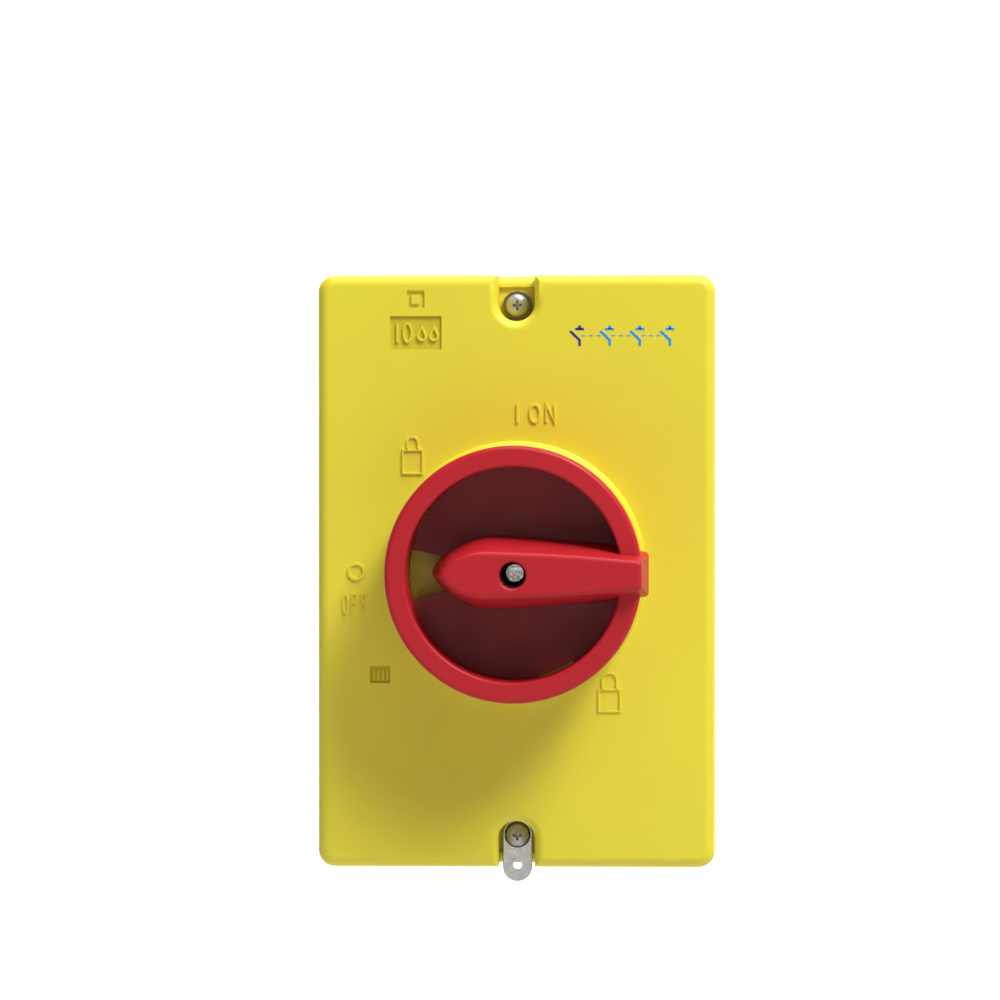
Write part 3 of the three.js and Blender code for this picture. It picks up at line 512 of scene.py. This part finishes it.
def pocket_mouth(sign):
    """The part of a screw pocket above its lip, with a flared mouth."""
    levels = [(0.0, SEAT_DEPTH), (0.0, FACE - POCKET_FLARE)]
    for inwards, upwards in quarter(8)[1:]:
        levels.append((POCKET_FLARE * inwards, FACE - POCKET_FLARE + POCKET_FLARE * upwards))
    levels.append((POCKET_FLARE, FACE + 2 * PAST))
    return loft("mouth", [[(x, z, d) for x, z in u_outline(POCKET_HALF + e, sign)] for e, d in levels])


def lip_rounding(sign):
    """What rounds the outer edge of a pocket's lip."""
    edge, top = HEIGHT / 2 - LIP_RADIUS, SEAT_DEPTH - LIP_RADIUS
    outside, above = edge + 2 * LIP_RADIUS, SEAT_DEPTH + PAST
    section = [*arc(edge, top, LIP_RADIUS, 90, 0, 10), (outside, top), (outside, above), (edge, above)]
    return loft("edge", [[(x, sign * z, d) for z, d in section] for x in (-POCKET_HALF, POCKET_HALF)])


def add_pocket(body, sign):
    """One end's screw pocket: its walls, the hollow, the low outer lip and the screw's seat."""
    outline = u_outline(POCKET_HALF + POCKET_WALL, sign)
    wall = prism("wall", outline, POCKET_FLOOR - POCKET_BOTTOM, FACE - PAST)
    join(body, combine(wall, cover_blank(), "INTERSECT"))
    hollow = prism("hollow", u_outline(POCKET_HALF, sign, LIP_FROM), POCKET_FLOOR, SEAT_DEPTH + PAST / 2)
    cut(body, hollow, pocket_mouth(sign), lip_rounding(sign))
    z = sign * SCREW_Z
    rear = POCKET_FLOOR - (POCKET_BOTTOM + 2 * PAST)
    join(body, prism("seat", disc(SEAT_RADIUS, 0, z, 48), POCKET_FLOOR - PAST, SEAT_DEPTH))
    cut(body, prism("hole", disc(SCREW_HOLE, 0, z, 32), rear, SEAT_DEPTH + PAST))


def cover_shell():
    body = cover_blank()
    rear, front = COVER_REAR - PAST, BOSS_FRONT + PAST
    lip = rounded_rect(WIDTH - 2 * LIP_INSET, HEIGHT - 2 * LIP_INSET, LIP_CORNER)
    hollow = rounded_rect(WIDTH - 2 * WALL_INSET, HEIGHT - 2 * WALL_INSET, WALL_CORNER)
    cut(body, prism("lip", lip, rear, LEDGE), prism("hollow", hollow, rear, COVER_CAVITY))
    join(body, cover_boss())
    for sign in (1, -1):
        add_pocket(body, sign)
    inner, outer, floor = BOSS_GROOVE
    groove = [(inner, floor), (outer, floor), (outer, front), (inner, front)]
    cut(body, lathe("groove", groove, 128))
    cut(body, prism("hub_hole", disc(HUB_HOLE), COVER_CAVITY - PAST, front))
    cut(body, prism("seal_seat", disc(SEAL_RADIUS), SEAL_FLOOR, front))
    for width, height, cx, cz in (RATING_PANEL, SMALL_PANEL):
        outline = rounded_rect(width, height, PANEL_CORNER, 4, cx, cz)
        cut(body, prism("panel", outline, FACE - PANEL_DEPTH, FACE + PAST))
    cut(body, insulation_mark())
    soften(body, MOULDED_EDGE)
    return piece(body, "cover", "yellow_plastic", "cover")


# ---- Markings -------------------------------------------------------------------------------------

RATING_PANEL = (13.0, 8.4, -25.4, 60.4)  # width, height, and the place of its centre
SMALL_PANEL = (5.1, 4.3, -34.5, -26.1)
PANEL_DEPTH = 0.6
PANEL_CORNER = 0.3
MARK_HEIGHT = 0.45
BOLD_STROKE = 0.85
FINE_STROKE = 0.6
RIDGE_FOOT = 0.2  # how deep a raised line's foot sits in the surface
RIDGE_TOP = 0.62  # the width of its top, as a share of its foot's


def insulation_mark():
    """What cuts the square in a square, the sign of double insulation."""
    centre, outer, inner, depth = (-25.4, 68.9), 4.4, 2.3, 0.7
    square = rounded_rect(outer, outer, 0.25, 3, *centre)
    island = rounded_rect(inner, inner, 0.2, 3, *centre)
    groove = prism("square", square, FACE - depth, FACE + PAST)
    return cut(groove, prism("island", island, FACE - PAST, FACE + 2 * PAST))


def ridge_rings(points, closed, width, height, depth):
    """Cross-sections of a raised line along points: wide at its foot, narrower at its top."""
    count = len(points)
    rings = []
    for i in range(count):
        here = Vector(points[i])
        before = Vector(points[(i - 1) % count]) if closed or i else None
        after = Vector(points[(i + 1) % count]) if closed or i < count - 1 else None
        first = (here - before).normalized() if before else (after - here).normalized()
        second = (after - here).normalized() if after else first
        across = Vector((-(first + second).y, (first + second).x)).normalized()
        mitre = 1 / max(0.5, across.dot(Vector((-first.y, first.x))))
        ring = []
        section = ((-1, -RIDGE_FOOT), (-RIDGE_TOP, height), (RIDGE_TOP, height), (1, -RIDGE_FOOT))
        for side, up in section:
            p = here + across * (side * width / 2 * mitre)
            ring.append((p.x, p.y, depth + up))
        rings.append(ring)
    return rings


def ridges(name, lines, width, height=MARK_HEIGHT, depth=None):
    """One mesh of raised lines. Each line is (points, closed)."""
    depth = FACE if depth is None else depth
    points, faces = [], []
    for line, closed in lines:
        rings = ridge_rings(line, closed, width, height, depth)
        base = len(points)
        points += [p for ring in rings for p in ring]
        spans = len(rings) if closed else len(rings) - 1
        for i in range(spans):
            a, b = base + 4 * i, base + 4 * ((i + 1) % len(rings))
            faces += [[a + k, a + (k + 1) % 4, b + (k + 1) % 4, b + k] for k in range(4)]
        if not closed:
            last = base + 4 * (len(rings) - 1)
            faces += [[base + k for k in range(4)], [last + k for k in range(4)]]
    return mesh_object(name, points, faces)


def oval(cx, cz, half_x, half_z, steps=40):
    turn = [2 * math.pi * i / steps for i in range(steps)]
    return [(cx + half_x * math.cos(a), cz + half_z * math.sin(a)) for a in turn]


def box_line(cx, cz, width, height):
    x, z = width / 2, height / 2
    return [(cx - x, cz - z), (cx + x, cz - z), (cx + x, cz + z), (cx - x, cz + z)]


def letter(shape, x, z, width, height):
    """Stroke centrelines of a plain capital whose lower left corner is at (x, z)."""
    right, top, middle = x + width, z + height, z + height * 0.52
    if shape == "I":
        return [([(x + width / 2, z), (x + width / 2, top)], False)]
    if shape == "O":
        return [(oval(x + width / 2, z + height / 2, width / 2, height / 2), True)]
    if shape == "N":
        return [([(x, z), (x, top), (right, z), (right, top)], False)]
    return [([(x, z), (x, top), (right, top)], False), ([(x, middle), (right - 0.2, middle)], False)]


def padlock(cx, body_low, body_high, arch_top, width, arch_width):
    """Outline symbol of a padlock."""
    half = arch_width / 2
    bend = arc(cx, arch_top - half, half, 0, 180, 16)
    shackle = [(cx + half, body_high), *bend, (cx - half, body_high)]
    middle = (body_low + body_high) / 2
    return [(shackle, False), (box_line(cx, middle, width, body_high - body_low), True)]


def drop(cx, cz, size):
    """Outline of a falling drop."""
    bowl = arc(cx, cz, size / 2, 150, 390, 24)
    return [([(cx, cz + size * 1.15), *bowl], True)]


def panel_floor(name, panel):
    """A moulded panel's floor, a hair above the cover's own surface: a coarser grain, and a darker
    yellow that is painted shade in the recess.
    """
    width, height, cx, cz = panel
    floor, rear, front, inset = FACE - PANEL_DEPTH, 0.01, 0.03, 0.05
    outline = rounded_rect(width - 2 * inset, height - 2 * inset, PANEL_CORNER - inset, 4, cx, cz)
    piece(prism(name, outline, floor + rear, floor + front), "cover", None, finish="grained_yellow_painted_shade")


def cover_markings():
    panel_floor("panel_floor_rating", RATING_PANEL)
    panel_floor("panel_floor_small", SMALL_PANEL)
    on = letter("O", 3.5, 37.8, 2.5, 4.4) + letter("N", 7.6, 37.8, 2.1, 4.4)
    on += letter("I", 0.0, 37.6, 0.6, 4.8)
    piece(ridges("mark_on", on, BOLD_STROKE), "cover", "yellow_plastic")
    ring = [(oval(-40.5, 0, 1.95, 1.95), True)]
    piece(ridges("mark_off_ring", ring, BOLD_STROKE), "cover", "yellow_plastic")
    off = letter("O", -43.9, -10.5, 1.3, 4.7)
    off += letter("F", -41.6, -10.5, 1.3, 4.7) + letter("F", -39.2, -10.5, 1.3, 4.7)
    piece(ridges("mark_off", off, FINE_STROKE), "cover", "yellow_plastic")
    upper = padlock(-26.2, 24.8, 30.7, 34.0, 5.0, 2.7)
    lower = padlock(23.6, -35.3, -29.8, -25.6, 5.4, 3.7)
    piece(ridges("mark_padlock_upper", upper, FINE_STROKE), "cover", "yellow_plastic")
    piece(ridges("mark_padlock_lower", lower, FINE_STROKE), "cover", "yellow_plastic")
    panel_marks()


def upright(x, z, half):
    """One straight upright stroke."""
    return ([(x, z - half), (x, z + half)], False)


def panel_marks():
    """Plain shapes that stand in the two moulded panels in place of their lettering."""
    floor = FACE - PANEL_DEPTH
    cx, cz = RATING_PANEL[2:]
    glyphs = [upright(cx - 4.7, cz, 2.4), (oval(cx - 2.1, cz, 1.0, 2.3), True)]
    glyphs += drop(cx + 1.5, cz - 0.9, 2.0) + drop(cx + 4.6, cz - 0.9, 2.0)
    marks = ridges("mark_protection", glyphs, 0.65, PANEL_DEPTH - 0.05, floor)
    piece(marks, "cover", "yellow_plastic")
    cx, cz = SMALL_PANEL[2:]
    bars = [upright(cx + x, cz, 1.3) for x in (-1.6, -0.4, 0.8, 1.9)]
    piece(ridges("mark_mould_cell", bars, 0.5, PANEL_DEPTH, floor), "cover", "yellow_plastic")


def printed_symbol():
    """A pad-printed circuit symbol: the poles of a switch disconnector, linked together."""
    low, high, depth = 57.0, 62.2, FACE + 0.01
    first, pitch = 16.0, 7.6
    stub, swing, gap = 1.5, 2.4, 1.4
    bar, half_bar = 0.9, 1.1
    for index in range(4):
        x = first + pitch * index
        blade = [(x, low), (x, low + stub), (x - swing, high - gap)]
        contact = [(x, high - bar), (x, high)]
        crossbar = [(x - half_bar, high - bar), (x + half_bar, high - bar)]
        strokes = [(line, False) for line in (blade, contact, crossbar)]
        finish = "print_navy" if index == 0 else "print_blue"
        pole = ridges(f"print_pole_{index + 1}", strokes, 1.0, 0.03, depth)
        piece(pole, "cover", None, finish=finish)
    z, start, end, step = 59.6, 16.4, 17.4, 1.9
    dashes = [([(start + step * k, z), (end + step * k, z)], False) for k in range(12)]
    piece(ridges("print_link", dashes, 0.45, 0.02, depth), "cover", None, finish="print_blue")


# ---- Handle ---------------------------------------------------------------------------------------

GRIP_BASE = CUP_FLOOR - 0.6  # sunk a little into the cup's floor
# The next four have one value at the grip's base and one at its front.
GRIP_TIP = (-21.0, -17.9)  # x of its round end
GRIP_SHOULDER = (-5.0, -6.4)  # x where the round end turns into the long sides
GRIP_HALF = (9.25, 5.75)  # half its height at the shoulder
GRIP_END_HALF = (6.4, 3.6)  # half its height at the square end

OVERHANG_DEPTH = 91.0
OVERHANG = (30.5, 33.6, 32.0)  # x of the square end: behind OVERHANG_DEPTH, at it and at the front
WINDOW = (18.0, 26.75, 181.5, 14.0)  # inner and outer radius, direction and half its angle
PADLOCK_SLOTS = (-67.0, 150.0)  # directions of the two slots
PADLOCK_SLOT_SIZE = (26.6, 35.0, 10.0)  # inner and outer radius, and half the angle
PADLOCK_SLOT_TOP = 84.4


def cup():
    """The turned bowl of the handle, with a tapered side, a flat rim and soft edges."""
    outer, inner = CUP_RADIUS, CUP_INNER
    wide, narrow, tight = 1.3, 0.7, 0.3
    rim = arc(outer - wide, CUP_FRONT - wide, wide, 0, 90, 8)
    mouth = arc(inner + narrow, CUP_FRONT - narrow, narrow, 90, 180, 6)
    corner = arc(inner - tight, CUP_FLOOR + tight, tight, 0, -90, 3)
    draft, chamfer = 1.0, 0.5
    foot = [(0, CUP_REAR), (outer - draft - chamfer, CUP_REAR), (outer - draft, CUP_REAR + chamfer)]
    return lathe("handle_moulding", [*foot, *rim, *mouth, *corner, (0, CUP_FLOOR)], 192)


def grip_outline(depth, end, inset=0.0):
    """The grip seen from the front at one depth, drawn in by an inset. Its sides bulge a little."""
    share = (depth - GRIP_BASE) / (GRIP_FRONT - GRIP_BASE)

    def between(ends, power=1):
        base, top = ends
        return base + (top - base) * share ** power
    tip, shoulder = between(GRIP_TIP) + 1.3 * inset, between(GRIP_SHOULDER)
    half, end_half = between(GRIP_HALF, 2) - inset, between(GRIP_END_HALF, 2) - inset
    corner = max(0.4, 1.2 - inset)
    end -= inset
    p0, p1 = Vector((tip, 0)), Vector((tip + 1.0, half * 0.5))
    p2, p3 = Vector((shoulder - 6.0, half)), Vector((shoulder, half))
    upper = []
    curve_steps, side_steps, bulge = 24, 12, 0.35
    for i in range(curve_steps + 1):
        t, u = i / curve_steps, 1 - i / curve_steps
        upper.append(p0 * u ** 3 + p1 * (3 * u * u * t) + p2 * (3 * u * t * t) + p3 * t ** 3)
    for i in range(1, side_steps + 1):
        t = i / side_steps
        x = shoulder + (end - corner - shoulder) * t
        upper.append(Vector((x, half + (end_half - half) * t + bulge * math.sin(math.pi * t))))
    upper += [Vector(p) for p in arc(end - corner, end_half - corner, corner, 90, 0, 6)[1:]]
    lower = [Vector((p.x, -p.y)) for p in reversed(upper)][:-1]
    return [(p.x, p.y, depth) for p in upper + lower]


def grip():
    """The drafted bar across the cup. Its end sticks out past the ring and stops short of the cover."""
    edge, steps = 1.1, 6
    top = GRIP_FRONT - edge
    behind, widest, front = OVERHANG
    rings = []
    for i in range(steps + 1):
        rings.append(grip_outline(GRIP_BASE + (OVERHANG_DEPTH - GRIP_BASE) * i / steps, behind))
    for i in range(steps + 1):
        share = i / steps
        depth = OVERHANG_DEPTH + (top - OVERHANG_DEPTH) * share
        rings.append(grip_outline(depth, widest + (front - widest) * share))
    for inwards, upwards in quarter(steps)[1:]:
        rings.append(grip_outline(top + edge * upwards, front, edge * inwards))
    return loft("grip", rings)


def handle_moulding():
    """The handle in one piece: cup, grip and hub, with its window, slots, socket and bore."""
    body = cup()
    inner, outer, half = PADLOCK_SLOT_SIZE
    slots = [prism("slot", sector(inner, outer, centre, half), CUP_REAR - PAST, PADLOCK_SLOT_TOP)
             for centre in PADLOCK_SLOTS]
    cut(body, prism("window", sector(*WINDOW), CUP_REAR - PAST, CUP_FLOOR + PAST), *slots)
    join(body, grip(), prism("hub", disc(HUB_RADIUS), HUB_REAR, CUP_REAR + PAST))
    square = box_line(0, 0, SHAFT_SOCKET, SHAFT_SOCKET)
    socket = prism("socket", square, HUB_REAR - PAST, SHAFT_SHOULDER + PAST / 2)
    tip_bore = prism("tip_bore", disc(TIP_BORE, steps=48), SHAFT_SHOULDER - PAST, CUP_FLOOR)
    floor, front, chamfer = CUP_FLOOR - PAST, GRIP_FRONT + PAST, 0.4
    mouth = [(0, front), (BORE_RADIUS + chamfer + PAST, front), (BORE_RADIUS, GRIP_FRONT - chamfer)]
    bore = lathe("bore", [*mouth, (BORE_RADIUS, floor), (0, floor)], 64)
    cut(body, socket, tip_bore, bore)
    soften(body, MOULDED_EDGE)
    return piece(body, "handle", "red_plastic", "handle")


# ---- Screws and tab -------------------------------------------------------------------------------

STEEL_EDGE = 0.08  # the rounding of steel edges
CORNER_SIGNS = ((-1, -1), (1, -1), (1, 1), (-1, 1))


def cross_screw(name, z, rear, seat, shank, head, height):
    """A pan-head screw with a cross recess, its shank running back to rear."""
    rim, steps = 0.35, 8
    dome = [(head * math.cos(a), seat + height * (rim + (1 - rim) * math.sin(a)))
            for a in [math.pi / 2 * i / steps for i in range(steps)]]
    shaft = [(0, rear), (shank * 0.7, rear), (shank, rear + 0.5), (shank, seat)]
    obj = lathe(name, [*shaft, (head, seat), *dome, (0, seat + height)], 48, (0, z))
    arm, narrow = head * 0.52, head * 0.14
    for along, across in ((arm, narrow), (narrow, arm)):
        top = [(i * along, z + k * across, seat + height + PAST) for i, k in CORNER_SIGNS]
        foot = [(i * along * 0.45, z + k * across * 0.6, seat + height * 0.3) for i, k in CORNER_SIGNS]
        cut(obj, loft("recess", [foot, top]))
    return soften(obj, 0.06)


def cover_screws():
    for node in ("cover_screw_top", "cover_screw_bottom"):
        _, z, (rear, front) = extent(node)
        seat = TAB_DEPTH[1] + GAP
        shank, head = 2.0, 2.9
        screw = cross_screw(f"{node}_detail", sum(z) / 2, rear, seat, shank, head, front - seat)
        piece(screw, "cover", "zinc_steel", node, finish="screw_steel")


def switch_shaft():
    """The square shaft, with a round turned tip that shows in the handle's bore."""
    rear, tip = extent("switch_shaft")[2]
    corner, chamfer, foot = 0.45, 0.25, SHAFT_SHOULDER - PAST
    square = rounded_rect(SHAFT_SIDE, SHAFT_SIDE, corner, 4)
    shaft = prism("switch_shaft_detail", square, rear, SHAFT_SHOULDER)
    side = [(0, foot), (TIP_RADIUS, foot), (TIP_RADIUS, tip - chamfer)]
    join(shaft, lathe("tip", [*side, (TIP_RADIUS - chamfer, tip), (0, tip)], 48))
    piece(soften(shaft, STEEL_EDGE), "rotor", "zinc_steel", "switch_shaft", finish="turned_steel")


def stadium(half, low, high, steps=24):
    return arc(0, high - half, half, 0, 180, steps) + arc(0, low + half, half, 180, 360, steps)


def seal_tab():
    """The pressed steel tab: soft rim, dished seat under the screw and a hole for a seal's wire."""
    half = (TAB_X[1] - TAB_X[0]) / 2
    rim = 0.22
    levels = [(rim, TAB_DEPTH[0]), (0.0, TAB_DEPTH[0] + rim)]
    levels += [(rim * i, TAB_DEPTH[1] - rim + rim * u) for i, u in quarter(4)]
    rings = [[(x, z, d) for x, z in stadium(half - e, TAB_Z[0] + e, TAB_Z[1] - e)] for e, d in levels]
    tab = loft("seal_tab_detail", rings)
    screw_z = sum(extent("cover_screw_bottom")[1]) / 2
    dish_floor, dish_mouth = (2.9, TAB_DEPTH[1] - 0.4), (3.4, TAB_DEPTH[1] + 0.05)
    dish = [(0, dish_floor[1]), dish_floor, dish_mouth, (0, dish_mouth[1])]
    cut(tab, lathe("dish", dish, 48, (0, screw_z)))
    hole = disc(SCREW_HOLE, 0, screw_z, 40)
    wire = disc(WIRE_HOLE, 0, WIRE_HOLE_Z, 32)
    behind, before = 55, 70
    cut(tab, prism("hole", hole, behind, before), prism("wire", wire, behind, before))
    return piece(soften(tab, STEEL_EDGE), "cover", "zinc_steel", "seal_tab")


# ---- Carried-over CAD nodes -----------------------------------------------------------------------

# The washer gets the darker steel, whose darkness is painted shade
FINISHES = {"cover_screw_washer": "dull_steel_painted_shade"}


def dress_cad_nodes():
    """Gives every CAD node that stays its material and soft edges. The thin springs get no bevel."""
    slots = {part["node"]: part["material_slot"] for part in frame["record"]["subparts"]}
    for name, obj in NODES.items():
        obj.material_slots[0].material = MATERIALS[FINISHES.get(name, slots[name])]
        radius = 0.5 if name == "rear_housing" else 0.15
        soften(obj, 0.0 if name.startswith("detent_spring") else radius)


# ---- Stage ----------------------------------------------------------------------------------------

def stage_material(name, colour, glow):
    """Matt, with a light of its own where glow isn't 0."""
    s = Surface(name)
    s.colour(s.tint(s.remap(s.noise(3, 2), 0, 1), scaled(colour, 0.98), colour))
    s.shader.inputs["Roughness"].default_value = 0.9
    s.shader.inputs["Emission Color"].default_value = colour
    s.shader.inputs["Emission Strength"].default_value = glow
    return s.material


def stage_plane(name, corners, shade, glow):
    mesh = bpy.data.meshes.new(name)
    mesh.from_pydata(corners, [], [(0, 1, 2, 3)])
    obj = bpy.data.objects.new(name, mesh)
    bpy.context.scene.collection.objects.link(obj)
    obj.data.materials.append(stage_material(name, (shade, shade, shade, 1.0), glow))


def studio():
    """A pale floor, a white backdrop and faint light from all round, in metres."""
    far, low, side = 3.0, -0.6, 6.0
    floor = [(-side, -side, low), (side, -side, low), (side, far, low), (-side, far, low)]
    backdrop = [(-side, far, low), (side, far, low), (side, far, side), (-side, far, side)]
    stage_plane("floor", floor, 0.66, 0.0)
    stage_plane("backdrop", backdrop, 0.9, 1.15)
    world = bpy.data.worlds.new("studio")
    world.use_nodes = True
    background = world.node_tree.nodes["Background"]
    background.inputs["Color"].default_value = (1.0, 1.0, 1.0, 1.0)
    background.inputs["Strength"].default_value = 0.15
    bpy.context.scene.world = world


def area_light(name, place, target, size, power):
    light = bpy.data.lights.new(name, "AREA")
    light.shape = "RECTANGLE"
    light.size, light.size_y = size
    light.energy = power
    obj = bpy.data.objects.new(name, light)
    bpy.context.scene.collection.objects.link(obj)
    obj.location = place
    direction = Vector(target) - Vector(place)
    obj.rotation_mode = "QUATERNION"
    obj.rotation_quaternion = direction.to_track_quat("-Z", "Y")


def lights():
    """A strong key from the upper right and weak lights all round, in metres and watts."""
    centre = (0, -0.07, 0)
    area_light("key", (1.35, -1.43, 2.31), centre, (1.1, 1.1), 98)
    area_light("top", (0.1, -0.25, 1.5), centre, (0.9, 0.5), 10)
    area_light("fill", (-2.0, -0.75, -0.8), centre, (1.2, 1.2), 8)
    area_light("front", (-0.07, -2.2, -0.07), centre, (0.5, 0.5), 1.2)
    area_light("rear", (-0.6, 1.4, 0.9), centre, (1.0, 1.0), 8)


def camera():
    """Almost straight on, a little from the right and from above."""
    distance, tilt = 1.2, math.radians(1.9)
    face = Vector((0, -FACE * MM, 0))
    data = bpy.data.cameras.new("camera")
    data.sensor_width = 36.0
    frame_width = 0.2529  # what the picture's width spans at the cover's face
    data.lens = data.sensor_width * distance / frame_width
    data.clip_start, data.clip_end = 0.05, 50.0
    obj = bpy.data.objects.new("camera", data)
    bpy.context.scene.collection.objects.link(obj)
    away = Vector((math.sin(tilt), -math.cos(tilt), math.sin(tilt))).normalized()
    obj.location = face + away * distance
    aim = face + Vector((-0.0041, 0, 0.0181))  # the object sits a little low and right in the picture
    obj.rotation_mode = "QUATERNION"
    obj.rotation_quaternion = (aim - obj.location).to_track_quat("-Z", "Y")
    bpy.context.scene.camera = obj


camera()
studio()
lights()
cover_shell()
cover_markings()
printed_symbol()
handle_moulding()
cover_screws()
seal_tab()
switch_shaft()
dress_cad_nodes()
bpy.context.scene.view_settings.view_transform = "Standard"

bpy.context.view_layer.update()
